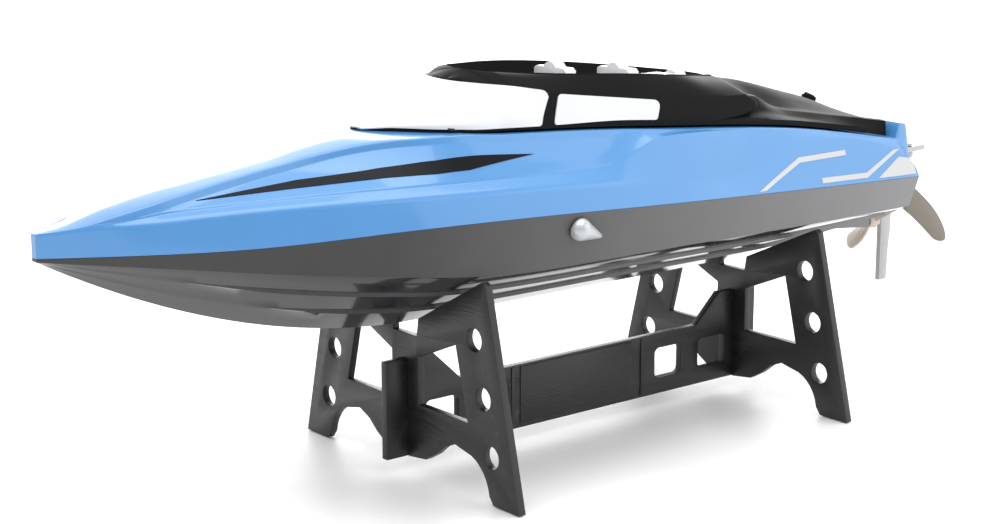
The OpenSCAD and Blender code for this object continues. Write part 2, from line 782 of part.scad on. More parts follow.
module rudder_post() {
    color("#c4c7cb") {
        translate([post_x, 0, 55]) cylinder(h = 24, r = 0.8);
        translate([post_x, 0, 78.5]) cylinder(h = 16.5, r = 1.5);
    }
}

// Arm on the rudder post with a screw that is the pushrod's pivot.
module tiller_arm() {
    color("#8f9195") {
        difference() {
            translate([post_x, 0, 90]) arm_link(3.6, 4.6, 2.4, 1);
            translate([post_x, 0, 89]) cylinder(h = 8, r = 1.5);
        }
        translate([post_x, arm_r, 91.9]) cylinder(h = 3.2, r = 1);
        translate([post_x, arm_r, 94.8]) cylinder(h = 1.2, r = 2);
    }
}

// ---- hatches ----

lid_stations = [-142, -136, -120, -100, -80, -60, -40, -20, 0, 20, 40, 58, 66];

module hatch_seal() {
    edge = function(x) curve(ridge_y, x) - 9;
    line = function(x, z) [
        [x, edge(x) + 3.6, z], [x, edge(x) + 0.8, z], [x, -edge(x) - 0.8, z], [x, -edge(x) - 3.6, z]
    ];
    rows = len(lid_stations) - 1;
    color("#202022")
        shell(
            [for (x = lid_stations) line(x, seat_z(x) + 1)],
            [for (x = lid_stations) line(x, seat_z(x) + 0.15)],
            function(i, j) j == 1 && i > 0 && i < rows - 1
        );
}

module inner_hatch() {
    edge = function(x) curve(ridge_y, x) - 5.4;
    line = function(x, z) [for (s = [1, 0.5, 0, -0.5, -1]) [x, s * edge(x), z]];
    color("#33353a")
        shell(
            [for (x = lid_stations) line(x, seat_z(x) + 2.1)],
            [for (x = lid_stations) line(x, seat_z(x) + 1.05)]
        );
}

canopy_stations = [
    -152, -148, -140, -128, -115, -104, -95, -88, -84, -81.9, -78, -72, -63, -48, -36, -26.1, -25.9, -13, 0, 12, 20, 28,
    34, 38, 42, 45.8, 46.2, 49, 52, 56.6, 58, 64, 72, 80, 85, 87.4
];

module canopy_shell() {
    color("#141416")
        shell(
            [for (x = canopy_stations) row(x, side_in(canopy_half(x, 0)))],
            [
                for (x = canopy_stations)
                    let(u = min(max(x, -150.4), 84.5)) row(u, side_in(canopy_half(u, canopy_wall)))
            ],
            cap_aft = true
        );
}

// Glazing strips lie just outside the canopy skin.
function outward(p, q, d) = let(t = q - p, n = norm(t)) p + [t[1], -t[0]] * d / n;
function glazing_half(x, d) =
    let(h = canopy_half(x, 0))
    [for (k = [1 : 4]) outward(h[k], h[k] + (h[min(k + 1, 4)] - h[max(k - 1, 1)]), d)];

module windshield() {
    xs = [27.5, 34, 38, 42, 46.2, 49, 52, 56.6, 64, 72, 80, 84];
    both = function(half) concat(half, [for (k = [3 : -1 : 0]) [-half[k][0], half[k][1]]]);
    color("#f1f2f4")
        shell(
            [for (x = xs) row(x, both(glazing_half(x, 0.7)))],
            [for (x = xs) row(x, both(glazing_half(x, 0.12)))],
            function(i, j) j == 3 && xs[i] < 56.6
        );
}

module side_windows() {
    xs = [-25, -13, 0, 12, 21];
    color("#f1f2f4")
        for (m = [0, 1])
            mirror([0, m, 0])
                shell(
                    [for (x = xs) row(x, glazing_half(x, 0.7))],
                    [for (x = xs) row(x, glazing_half(x, 0.12))]
                );
}

// Three seats in file, each with a rounded back; top is the height of the back's head.
module cockpit_seats() {
    base = cockpit_floor + 0.1;
    color("#d4d6da")
        for (seat = [[1, 144.8], [-31, 142.2], [-62, 137]])
            translate([seat[0], 0, base]) {
                top = seat[1] - base;
                translate([-3, -8, 0]) cube([12, 16, 2.6]);
                translate([-8, 0, 0])
                    rotate([90, 0, 90])
                        linear_extrude(5.1)
                            intersection() {
                                translate([-10, 0]) square([20, top]);
                                seat_back(top);
                            }
            }
}

module seat_back(top) {
    translate([-9, 0]) square([18, top - 3]);
    translate([-7, top - 3 - eps]) square([14, 1 + eps]);
    for (m = [-1, 1])
        translate([7 * m, top - 4]) circle(2);
    translate([0, top - 4]) circle(4);
}

// Quarter-turn knob that locks the canopy down at its sloping tail.
module canopy_lock() {
    color("#1a1a1c")
        translate([-146, 0, 118.1])
            rotate([0, -22.5, 0]) {
                translate([0, 0, 0.35]) cylinder(h = 1.4, r = 3.2);
                translate([-2.7, -0.8, 1.7]) cube([5.4, 1.6, 1]);
            }
}

front_frame();
rear_frame();
stand_spine();
hull_shell();
deck_shell();
battery_tray();
battery_pack();
battery_strap();
electronics_shelf();
control_box();
motor_mount();
motor_can();
cooling_jacket();
water_inlet();
inlet_hose();
outlet_hose();
outlet_fitting();
stuffing_tube();
shaft_strut();
servo_tray();
servo();
rubber_boot();
rudder_bracket();
bracket_screws();
turn_fins();
motor_shaft();
prop_shaft();
shaft_coupler();
propeller();
prop_nut();
servo_horn();
pushrod();
rudder_blade();
rudder_post();
tiller_arm();
hatch_seal();
inner_hatch();
canopy_shell();
windshield();
side_windows();
cockpit_seats();
canopy_lock();
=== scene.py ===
import json
import math
import bpy
import bmesh
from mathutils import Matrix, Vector
from mathutils.bvhtree import BVHTree


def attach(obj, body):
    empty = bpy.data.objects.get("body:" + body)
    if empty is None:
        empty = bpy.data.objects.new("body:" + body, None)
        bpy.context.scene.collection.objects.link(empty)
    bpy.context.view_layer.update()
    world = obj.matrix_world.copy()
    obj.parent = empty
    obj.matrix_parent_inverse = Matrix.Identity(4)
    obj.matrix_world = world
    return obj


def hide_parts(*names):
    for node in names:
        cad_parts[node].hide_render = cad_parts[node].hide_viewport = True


# Radio-controlled deep-V speedboat on its display stand. Shapes are worked out in millimetres in the
# CAD frame (+X bow, +Y port, +Z up) and become metres when a mesh is made.

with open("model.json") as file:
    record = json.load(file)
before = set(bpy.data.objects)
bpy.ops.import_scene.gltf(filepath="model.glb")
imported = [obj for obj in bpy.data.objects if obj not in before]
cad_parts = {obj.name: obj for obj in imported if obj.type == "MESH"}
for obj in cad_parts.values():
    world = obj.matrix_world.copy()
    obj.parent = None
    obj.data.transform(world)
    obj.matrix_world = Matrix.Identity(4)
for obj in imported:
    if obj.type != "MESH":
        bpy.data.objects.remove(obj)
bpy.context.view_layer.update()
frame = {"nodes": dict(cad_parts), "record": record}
MM = 0.001

# ---------------------------------------------------------------- camera

CAMERA_AT = Vector((465.26, 539.46, 226.49))
CAMERA_LOOK = Vector((-0.6198, -0.7543, -0.2164))
CAMERA_LENS = 69.1


def add_camera():
    data = bpy.data.cameras.new("camera")
    data.lens = CAMERA_LENS
    data.sensor_width = 36
    data.clip_start = 0.01
    camera = bpy.data.objects.new("camera", data)
    camera.location = CAMERA_AT * MM
    camera.rotation_euler = CAMERA_LOOK.to_track_quat("-Z", "Y").to_euler()
    bpy.context.scene.collection.objects.link(camera)
    bpy.context.scene.camera = camera


add_camera()

# ---------------------------------------------------------------- lines of the boat

BOW_X = 208.5
TRANSOM_X = -164.0
MIDSHIP_X = 2.0
STEM_HALF = 1.5
BEAM = 100.0
CHINE_BEAM = 90.0
WALL = 2.0
KEEL_Z = 56.0
FOREFOOT_X = 62.0
FOREFOOT_RISE = 42.0
STERN_RISE_X = -100.0
STERN_RISE = 6.0
SEAT_FRONT_X = 62.0
BOW_BLOCK_X = 186.0
TRANSOM_INNER_X = -160.0
ARC_STEPS = 4
HATCH_AFT = -138.0
HATCH_FORE = 62.0

SEAM_Z = [(-164, 89.6), (-23, 96), (40, 98.8), (90, 99.4), (150, 98), (208.5, 99)]
CHINE_Z = [(-164, 76.4), (-100, 77), (-20, 78.2), (60, 79.2), (96, 83), (134, 88), (173, 93.5), (208.5, 98)]
CREASE_Y = [(-164, 44.5), (-125, 42.5), (-95, 42.5), (-64, 45), (-30, 47.5), (-6, 48)]
CREASE_Z = [
    (-164, 93), (-153, 101.8), (-125, 109.5), (-95, 111.5), (-79, 108.3), (-64, 103.8), (-47, 101.5),
    (-6, 105), (32, 108.2), (59, 109.1), (97, 110.2), (145, 110.3), (200, 106.9), (208.5, 106),
]
GROOVE_Z = [
    (-164, 96), (-153, 106), (-125, 111.5), (-95, 115), (-60, 118.5), (-17, 120), (-6, 116.5),
    (2, 113.8), (14, 112.5), (60, 113), (115, 113.3), (162, 111.6), (200, 108), (208.5, 106.6),
]
RIDGE_Y = [
    (-164, 40), (-155, 40.5), (-78, 39.5), (-28, 38), (28, 35.5), (62, 32.5), (78, 28), (90, 21.5),
    (104, 15.5), (122, 12.8), (167, 12.8), (182, 10.8), (197, 5.8), (208.5, 0.8),
]
RIDGE_Z = [
    (62, 127.3), (78, 127.3), (92, 126.2), (107, 124), (122, 121.6), (137, 119.5), (152, 117.3), (167, 114.8),
    (182, 111.7), (197, 108.1), (208.5, 106.8),
]
CABIN_Y = [
    (-152, 37.5), (-100, 37.5), (-28, 35.8), (28, 33.2), (47, 31), (57, 29.2), (64, 26.4), (70, 22.2),
    (75, 17.3), (80, 11.8), (84, 7), (86.8, 3), (87.5, 1),
]
GLASS_TOP_Y = [
    (-26, 33), (-13, 32.3), (5, 31.3), (25, 29.7), (36.3, 24.4), (44.6, 14.2), (47.6, 3.3), (48, 1.2),
]
GLASS_TOP_Z = [(-26, 132.4), (-13, 134.1), (5, 136.5), (25, 139.3), (36.3, 140.7), (44.6, 141.3), (48, 141.4)]
RIM_Y = [
    (-82, 8), (-78, 11.5), (-63, 17.8), (-48, 25), (-33, 27.7), (-18, 29), (2, 28.5), (12, 26.5),
    (22, 22.4), (32, 16.5), (42, 10.5), (46, 5),
]
RIM_Z = [(-82, 134), (-63, 136.4), (-33, 139.8), (-8, 142.1), (22, 144), (46, 146)]
SHOULDER_Y = [(-152, 37), (-115, 30), (-95, 27), (-84, 29.5), (-76, 32.8), (-26, 33)]
SHOULDER_Z = [(-152, 112.8), (-115, 118.6), (-100, 122), (-84, 128.5), (-60, 130.4), (-26, 132.4)]
SPINE_Z = [(-152, 115.5), (-141, 120), (-125, 124.4), (-103, 130), (-86, 133), (-82, 134)]


def clamp(t):
    return min(max(t, 0.0), 1.0)


def smooth(t):
    t = clamp(t)
    return t * t * (3 - 2 * t)


def mix(a, b, t):
    return a + (b - a) * t


def curve(points, x):
    """Smooth curve through (x, value) stations."""
    k = max([0] + [i for i in range(1, len(points) - 1) if x >= points[i][0]])

    def rate(i):
        a, b = max(i - 1, 0), min(i + 1, len(points) - 1)
        return (points[b][1] - points[a][1]) / (points[b][0] - points[a][0])

    h = points[k + 1][0] - points[k][0]
    t = clamp((x - points[k][0]) / h)
    u = 1 - t
    return (u * u * (1 + 2 * t) * points[k][1] + t * t * (3 - 2 * t) * points[k + 1][1]
            + h * t * u * (u * rate(k) - t * rate(k + 1)))


def fullness(x):
    if x > MIDSHIP_X:
        return 1 - clamp((x - MIDSHIP_X) / (BOW_X - MIDSHIP_X)) ** 2.2
    return 1 - 0.08 * ((MIDSHIP_X - x) / (MIDSHIP_X - TRANSOM_X)) ** 2


def half_width(x, full):
    return mix(STEM_HALF, full / 2, fullness(x))


def keel_z(x):
    forefoot = clamp((x - FOREFOOT_X) / (BOW_X - FOREFOOT_X)) ** 1.94
    stern = clamp((STERN_RISE_X - x) / (STERN_RISE_X - TRANSOM_X)) ** 1.5
    return KEEL_Z + FOREFOOT_RISE * forefoot + STERN_RISE * stern


def seat_z(x):
    """Height of the coaming that the canopy sits on."""
    return 129.3 - 0.0004 * (87 - x) ** 2 - 2.1 * smooth((88 - x) / 45) * smooth((x + 110) / 90)


def ridge_top(x):
    """Height of the deck's ridge: the foredeck's line, then the coaming, then the stern's upstand."""
    if x > SEAT_FRONT_X:
        return curve(RIDGE_Z, x)
    return seat_z(x) - 0.5 + 7 * smooth((-153 - x) / 3) - 13 * smooth((-159.5 - x) / 4.5)


def deck_crown(x, half):
    """How far the deck's centre stands above its ridges."""
    return (0.4 + 1.2 * smooth((x - 66) / 40)) * clamp(half / 20)


def inner_x(x):
    """Station of the inside ring that backs the outside ring at x."""
    if x > BOW_BLOCK_X:
        return BOW_BLOCK_X + (x - BOW_BLOCK_X) * 0.4
    if x < TRANSOM_INNER_X:
        share = (TRANSOM_INNER_X - x) / (TRANSOM_INNER_X - TRANSOM_X)
        return mix(TRANSOM_INNER_X, TRANSOM_INNER_X - WALL, share)
    return x


def rounded(points, radii):
    """The same outline with each inner corner turned into a small arc."""
    out = [points[0]]
    for k in range(1, len(points) - 1):
        p = Vector(points[k])
        a, b = Vector(points[k - 1]) - p, Vector(points[k + 1]) - p
        r = min(radii[k], 0.45 * a.length, 0.45 * b.length)
        start = p + a.normalized() * r if a.length > 0 else p
        end = p + b.normalized() * r if b.length > 0 else p
        for i in range(ARC_STEPS + 1):
            t = i / ARC_STEPS
            q = start * (1 - t) ** 2 + p * 2 * t * (1 - t) + end * t * t
            out.append((q[0], q[1]))
    out.append(points[-1])
    return out


# ---------------------------------------------------------------- meshes

WELD = 0.002
FLAT_ANGLE = 1.5
BEVEL_ANGLE = 30
BEVELLED_SHARP = 50


def steps_between(a, b, pitch):
    """Evenly spaced values from a to b, about a pitch apart."""
    count = max(1, round(abs(b - a) / pitch))
    return [mix(a, b, i / count) for i in range(count + 1)]


def new_object(name, verts, faces, sharp=35, merge=0.0):
    """A piece from millimetre points. Edges sharper than an angle stay crisp."""
    mesh = bpy.data.meshes.new(name)
    mesh.from_pydata([Vector(v) * MM for v in verts], [], faces)
    bm = bmesh.new()
    bm.from_mesh(mesh)
    if merge:
        bmesh.ops.remove_doubles(bm, verts=bm.verts, dist=merge * MM)
        bmesh.ops.dissolve_degenerate(bm, dist=merge * MM * 0.5, edges=bm.edges)
    loose = [v for v in bm.verts if not v.link_faces]
    bmesh.ops.delete(bm, geom=loose, context="VERTS")
    bmesh.ops.recalc_face_normals(bm, faces=bm.faces)
    bm.to_mesh(mesh)
    bm.free()
    mesh.shade_smooth()
    mesh.set_sharp_from_angle(angle=math.radians(sharp))
    obj = bpy.data.objects.new(name, mesh)
    bpy.context.scene.collection.objects.link(obj)
    return obj


def shell(name, outer, inner, is_open=lambda i, j: False, cap_aft=False, cap_fore=False, **options):
    """Closed shell between two matching grids of points, as the CAD's shells are."""
    rows, cols = len(outer), len(outer[0])
    n = rows * cols

    def kept(i, j):
        return 0 <= i < rows - 1 and 0 <= j < cols - 1 and not is_open(i, j)

    def vid(i, j):
        return i * cols + j

    def wall_face(a, b):
        return (a, b, n + b, n + a)

    verts = [p for row in outer for p in row] + [p for row in inner for p in row]
    faces = []
    for i in range(rows - 1):
        for j in range(cols - 1):
            if not kept(i, j):
                continue
            faces.append((vid(i, j), vid(i + 1, j), vid(i + 1, j + 1), vid(i, j + 1)))
            faces.append((n + vid(i, j), n + vid(i, j + 1), n + vid(i + 1, j + 1), n + vid(i + 1, j)))
            if not kept(i, j - 1):
                faces.append(wall_face(vid(i + 1, j), vid(i, j)))
            if not kept(i, j + 1):
                faces.append(wall_face(vid(i, j + 1), vid(i + 1, j + 1)))
            if not kept(i - 1, j) and not (i == 0 and cap_aft):
                faces.append(wall_face(vid(i, j), vid(i, j + 1)))
            if not kept(i + 1, j) and not (i == rows - 2 and cap_fore):
                faces.append(wall_face(vid(i + 1, j + 1), vid(i + 1, j)))
    for capped, i in ((cap_aft, 0), (cap_fore, rows - 1)):
        if not capped:
            continue
        middle = len(verts)
        for grid in (outer, inner):
            verts.append(tuple((a + b) / 2 for a, b in zip(grid[i][0], grid[i][-1])))
        for j in range(cols - 1):
            faces.append((middle, vid(i, j), vid(i, j + 1)))
            faces.append((middle + 1, n + vid(i, j + 1), n + vid(i, j)))
        faces.append((vid(i, 0), middle, middle + 1, n + vid(i, 0)))
        faces.append((middle, vid(i, cols - 1), n + vid(i, cols - 1), middle + 1))
    return new_object(name, verts, faces, **options)


def both_sides(row):
    """A half row of points that ends on the centre line, carried on to the other edge."""
    return row + [(x, -y, z) for x, y, z in row[-2::-1]]


def apply_modifiers(obj):
    """Makes the modifiers' result the piece's own mesh."""
    bpy.context.view_layer.update()
    graph = bpy.context.evaluated_depsgraph_get()
    mesh = bpy.data.meshes.new_from_object(obj.evaluated_get(graph))
    obj.modifiers.clear()
    old = obj.data
    obj.data = mesh
    bpy.data.meshes.remove(old)


def bevelled(obj, width):
    """Rounds a piece's crisp edges."""
    bevel = obj.modifiers.new("bevel", "BEVEL")
    bevel.width = width * MM
    bevel.segments = 2
    bevel.limit_method = "ANGLE"
    bevel.angle_limit = math.radians(BEVEL_ANGLE)
    apply_modifiers(obj)
    obj.data.shade_smooth()
    obj.data.set_sharp_from_angle(angle=math.radians(BEVELLED_SHARP))
    return obj


def cad_copy(node, name, width):
    """A copy of a CAD node's mesh with its edges rounded; the copy stands for the node."""
    obj = bpy.data.objects.new(name, frame["nodes"][node].data.copy())
    bpy.context.scene.collection.objects.link(obj)
    bm = bmesh.new()
    bm.from_mesh(obj.data)
    bmesh.ops.remove_doubles(bm, verts=bm.verts, dist=WELD * MM)
    bmesh.ops.dissolve_limit(bm, angle_limit=math.radians(FLAT_ANGLE), verts=bm.verts, edges=bm.edges)
    bm.to_mesh(obj.data)
    bm.free()
    bevelled(obj, width)
    return stand_for(obj, node)


BODIES = frame["record"]["behaviour"]["bodies"]
NODE_BODY = {node: body for body, nodes in BODIES.items() for node in nodes}
NODE_SLOT = {row["node"]: row["material_slot"] for row in frame["record"]["subparts"]}


def stand_for(obj, *nodes):
    """obj replaces CAD nodes and rides on the same body."""
    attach(obj, NODE_BODY[nodes[0]])
    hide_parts(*nodes)
    return obj


def detail_of(obj, node):
    """obj is extra detail on a CAD node and rides on the same body."""
    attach(obj, NODE_BODY[node])
    return obj


# ---------------------------------------------------------------- materials

# Painted light and shade along the hull's colour: where along the boat, in metres, the ramp runs, and how
# many times lighter the colour is painted at the stern.
PAINTED_LIGHT_FROM = -0.16
PAINTED_LIGHT_TO = 0.1
PAINTED_LIGHT_AT_STERN = 1.8


def material(name, colour, rough, metallic=0.0, coat=0.0, vary=0.08, scale=60.0, bump=0.05,
             bump_scale=400.0, stretch=(1, 1, 1), rough_vary=0.08, sheen=0.0, specular=0.5,
             transmission=0.0, painted_shade_at_bow=1.0):
    """Plastic, metal or rubber with gentle procedural unevenness of colour, gloss and surface.

    Below 1, the last argument paints light and shade into the colour along the boat: painted light lifts it
    to a set multiple at the stern, and painted shade lowers it to that argument's share ahead of the middle.
    """
    m = bpy.data.materials.new(name)
    m.use_nodes = True
    nodes, links = m.node_tree.nodes, m.node_tree.links
    shader = nodes["Principled BSDF"]
    shader.inputs["Metallic"].default_value = metallic
    shader.inputs["Coat Weight"].default_value = coat
    shader.inputs["Coat Roughness"].default_value = 0.06
    shader.inputs["Sheen Weight"].default_value = sheen
    shader.inputs["Specular IOR Level"].default_value = specular
    shader.inputs["Transmission Weight"].default_value = transmission
    place = nodes.new("ShaderNodeTexCoord")
    mapping = nodes.new("ShaderNodeMapping")
    mapping.inputs["Scale"].default_value = stretch
    links.new(place.outputs["Object"], mapping.inputs["Vector"])
    cloud = nodes.new("ShaderNodeTexNoise")
    cloud.inputs["Scale"].default_value = scale
    cloud.inputs["Detail"].default_value = 4
    links.new(mapping.outputs["Vector"], cloud.inputs["Vector"])
    tint = nodes.new("ShaderNodeMix")
    tint.data_type = "RGBA"
    tint.inputs["A"].default_value = (*[c * (1 - vary) for c in colour], 1)
    tint.inputs["B"].default_value = (*[min(1, c * (1 + vary)) for c in colour], 1)
    links.new(cloud.outputs["Fac"], tint.inputs["Factor"])
    # Painted light and shade: the colour is scaled along the boat, painted lighter at the stern and painted
    # darker towards the bow.
    if painted_shade_at_bow < 1:
        along = nodes.new("ShaderNodeSeparateXYZ")
        links.new(place.outputs["Object"], along.inputs["Vector"])
        painted_light_ramp = nodes.new("ShaderNodeMapRange")
        painted_light_ramp.inputs["From Min"].default_value = PAINTED_LIGHT_FROM
        painted_light_ramp.inputs["From Max"].default_value = PAINTED_LIGHT_TO
        painted_light_ramp.inputs["To Min"].default_value = PAINTED_LIGHT_AT_STERN
        painted_light_ramp.inputs["To Max"].default_value = painted_shade_at_bow
        links.new(along.outputs["X"], painted_light_ramp.inputs["Value"])
        scaled = nodes.new("ShaderNodeVectorMath")
        scaled.operation = "SCALE"
        links.new(tint.outputs["Result"], scaled.inputs["Vector"])
        links.new(painted_light_ramp.outputs["Result"], scaled.inputs["Scale"])
        links.new(scaled.outputs["Vector"], shader.inputs["Base Color"])
    else:
        links.new(tint.outputs["Result"], shader.inputs["Base Color"])
    gloss = nodes.new("ShaderNodeMapRange")
    gloss.inputs["To Min"].default_value = max(0.02, rough - rough_vary)
    gloss.inputs["To Max"].default_value = min(1, rough + rough_vary)
    links.new(cloud.outputs["Fac"], gloss.inputs["Value"])
    links.new(gloss.outputs["Result"], shader.inputs["Roughness"])
    grain = nodes.new("ShaderNodeTexNoise")
    grain.inputs["Scale"].default_value = bump_scale
    grain.inputs["Detail"].default_value = 3
    links.new(mapping.outputs["Vector"], grain.inputs["Vector"])
    relief = nodes.new("ShaderNodeBump")
    relief.inputs["Strength"].default_value = bump
    relief.inputs["Distance"].default_value = 0.0004
    links.new(grain.outputs["Fac"], relief.inputs["Height"])
    links.new(relief.outputs["Normal"], shader.inputs["Normal"])
    return m


MATERIALS = {
    "stand_black": material("stand_black", (0.012, 0.012, 0.013), 0.42, vary=0.3, scale=25, bump=0.35,
                            bump_scale=160, stretch=(1, 1, 14), rough_vary=0.12),
    # The hull's grey carries painted light at the stern and painted shade towards the bow.
    "hull_grey": material("hull_grey", (0.12, 0.12, 0.122), 0.4, specular=0.25, bump=0.03, bump_scale=900,
                          painted_shade_at_bow=0.38),
    # The hull's downward faces are painted a much darker grey: painted shade on the underside.
    "underside_painted_shade": material("underside_painted_shade", (0.028, 0.028, 0.03), 0.12, coat=0.35, specular=0.4, bump=0.02,
                            rough_vary=0.03),
    "deck_blue": material("deck_blue", (0.062, 0.24, 0.53), 0.3, coat=0.6, vary=0.03, bump=0.02,
                          rough_vary=0.05),
    "canopy_black": material("canopy_black", (0.012, 0.012, 0.0125), 0.45, specular=0.02, bump=0.02,
                             rough_vary=0.05),
    "glazing_white": material("glazing_white", (0.64, 0.65, 0.665), 0.22, coat=0.25, vary=0.02, bump=0.01),
    "seat_silver": material("seat_silver", (0.8, 0.81, 0.83), 0.2, metallic=0.35, coat=0.5, vary=0.12),
    "inner_black": material("inner_black", (0.022, 0.023, 0.026), 0.5, bump=0.2, bump_scale=700),
    "servo_blue": material("servo_blue", (0.012, 0.06, 0.26), 0.25, coat=0.3),
    "battery_wrap": material("battery_wrap", (0.02, 0.09, 0.36), 0.22, coat=0.5, bump=0.15, bump_scale=120),
    "strap_black": material("strap_black", (0.012, 0.012, 0.013), 0.8, bump=0.8, bump_scale=1500,
                            stretch=(1, 0.3, 1), sheen=0.3),
    "steel": material("steel", (0.4, 0.4, 0.41), 0.3, metallic=1, vary=0.06, bump=0.1, bump_scale=600),
    "alloy": material("alloy", (0.5, 0.51, 0.53), 0.34, metallic=1, vary=0.08, bump=0.15, bump_scale=500),
    "brass": material("brass", (0.62, 0.44, 0.17), 0.3, metallic=1, vary=0.1, bump=0.1),
    "hose_clear": material("hose_clear", (0.72, 0.76, 0.8), 0.25, transmission=0.35, coat=0.2),
    "rubber_black": material("rubber_black", (0.014, 0.014, 0.015), 0.7, bump=0.4, bump_scale=900),
    "outlet_silver": material("outlet_silver", (0.5, 0.52, 0.53), 0.25, metallic=0.35, coat=0.3),
    "grey_plastic": material("grey_plastic", (0.42, 0.42, 0.42), 0.36, bump=0.06),
    "strut_grey": material("strut_grey", (0.16, 0.16, 0.17), 0.35, bump=0.08),
    "fin_brown": material("fin_brown", (0.165, 0.142, 0.115), 0.32, metallic=0.3, vary=0.12, bump=0.1,
                          stretch=(1, 1, 6)),
    "prop_ivory": material("prop_ivory", (0.5, 0.42, 0.33), 0.32, coat=0.15, vary=0.05),
    "horn_white": material("horn_white", (0.82, 0.82, 0.8), 0.35, vary=0.02),
    "decal_black": material("decal_black", (0.004, 0.005, 0.007), 0.4, specular=0.12, vary=0.2),
    "decal_white": material("decal_white", (0.5, 0.51, 0.52), 0.35, vary=0.04, bump=0.02),
}


def paint(obj, *names):
    """Gives a piece its materials, in the order of its faces' material indices."""
    obj.data.materials.clear()
    for name in names:
        obj.data.materials.append(MATERIALS[name])
    return obj


# ---------------------------------------------------------------- hull

RAILS = [(0, 0), (0.15, 0), (0.30, 0), (0.36, 1), (0.37, 0), (0.5, 0), (0.64, 0), (0.70, 1), (0.71, 0),
         (0.85, 0), (0.985, 0)]
RAIL_DEPTH = 1.2
RAIL_DEPTH_INSIDE = 0.3
RAIL_FADE = 45
SIDE_SHARES = (0.015, 0.25, 0.5, 0.75, 1)
# Faces pointing further down than this get the underside's painted shade.
UNDERSIDE_SHADE_NORMAL_Z = -0.55


def rail_end(share):
    """Where a spray rail fades out towards the bow."""
    return 172 if share > 0.5 else 142


def hull_half(x, inset):
    """Half section of the hull from keel to seam."""
    yc = half_width(x, CHINE_BEAM) - inset
    ys = half_width(x, BEAM) - inset
    zk = keel_z(x) + 1.14 * inset
    zc = curve(CHINE_Z, x) + 0.6 * inset
    zs = curve(SEAM_Z, x)
    depth = RAIL_DEPTH_INSIDE if inset else RAIL_DEPTH
    line = []
    for share, on_rail in RAILS:
        drop = on_rail * depth * mix(0.03, 1, smooth((rail_end(share) - x) / RAIL_FADE))
        line.append((yc * share, mix(zk, zc, share) - drop))
    return line + [(mix(yc, ys, t), mix(zc, zs, t)) for t in SIDE_SHARES]


def build_hull():
    stations = (steps_between(TRANSOM_X, TRANSOM_INNER_X, 1) + steps_between(-157, BOW_BLOCK_X, 3)
                + steps_between(188, BOW_X, 1.5))

    def row(x, inset):
        half = hull_half(x, inset)
        return [(x, -y, z) for y, z in half[:0:-1]] + [(x, y, z) for y, z in half]

    hull = shell("hull", [row(x, 0) for x in stations], [row(inner_x(x), WALL) for x in stations],
                 cap_aft=True, cap_fore=True, sharp=22)
    paint(hull, "hull_grey", "underside_painted_shade")
    # Faces that point down take the second, darker material: painted shade on the underside.
    for face in hull.data.polygons:
        if face.normal.z < UNDERSIDE_SHADE_NORMAL_Z:
            face.material_index = 1
    return stand_for(hull, "hull_shell")


# ---------------------------------------------------------------- deck

GUNWALE_HALF = 48
SHELF_HALF = 43
FLANGE = 4.4
GROOVE_STEP = 0.7
VALLEY_STEP = 2.4
DECK_RADII = [0, 1.6, 0.3, 0.5, 5.0, 0.35, 0.6, 6.0, 8.0, 0]


def deck_half(x, inset):
    """Half section of the deck from the seam over gunwale, flange, valley and coaming to the centre."""
    ys = half_width(x, BEAM) - inset
    zs = curve(SEAM_Z, x) + (0.3 if inset else 0.12)
    full = fullness(x)
    yd = (curve(CREASE_Y, x) if x < -6 else mix(STEM_HALF, GUNWALE_HALF, full)) - inset
    zd = curve(CREASE_Z, x) - 0.4 * inset
    yr = curve(RIDGE_Y, x) - 0.7 * inset
    zr = ridge_top(x) - inset
    yg = min(max(min(mix(STEM_HALF, SHELF_HALF, full), yd - FLANGE) - 0.7 * inset, yr + 1.4), 0.96 * yd)
    zg = min(curve(GROOVE_Z, x) - inset, zr + 0.3)
    groove = GROOVE_STEP * smooth((194 - x) / 12) * smooth((x + 30) / 40)
    step = VALLEY_STEP * smooth((x + 14) / 20) * smooth((204 - x) / 24)
    foot_y = min(yr + 0.7, mix(yr, yg, 0.5))
    foot_z = zr - step
    edge_y = 0.72 * yr if x > SEAT_FRONT_X else yr - 9 * clamp(yr / 30)
    crown = deck_crown(x, yr)
    rise = min(0.4, 0.2 * (yg - foot_y))
    return [
        (ys, zs), (yd, zd), (yg, min(zg, zr) - groove), (yg - rise, min(zg, zr)),
        (mix(foot_y, yg, 0.45), min(mix(foot_z, zg, 0.5) - 0.3, zr)),
        (foot_y, foot_z), (yr, zr),
        (edge_y, zr + 0.4 * crown), (edge_y / 2, zr + 0.8 * crown), (0, zr + crown),
    ]


def deck_row(x, inset):
    return both_sides([(x, y, z) for y, z in rounded(deck_half(x, inset), DECK_RADII)])


def build_deck():
    stations = (steps_between(TRANSOM_X, -152, 0.75) + steps_between(-150, HATCH_AFT, 2)
                + steps_between(-135.5, -2, 2.5)[:-1] + steps_between(-2, HATCH_FORE, 2)
                + steps_between(64, BOW_BLOCK_X, 2.5) + steps_between(187.5, BOW_X, 1.5))
    outer = [deck_row(x, 0) for x in stations]
    inner = [deck_row(inner_x(x), WALL) for x in stations]
    corners_outside_hatch = 6
    edge = 1 + corners_outside_hatch * (ARC_STEPS + 1) + 3
    last = len(outer[0]) - 1

    def in_hatch(i, j):
        return edge <= j < last - edge and HATCH_AFT <= stations[i] < HATCH_FORE

    shape = shell("deck", outer, inner, in_hatch, cap_aft=True, cap_fore=True, sharp=40)
    return stand_for(paint(shape, "deck_blue"), "deck_shell")


build_hull()
deck = build_deck()

# ---------------------------------------------------------------- canopy

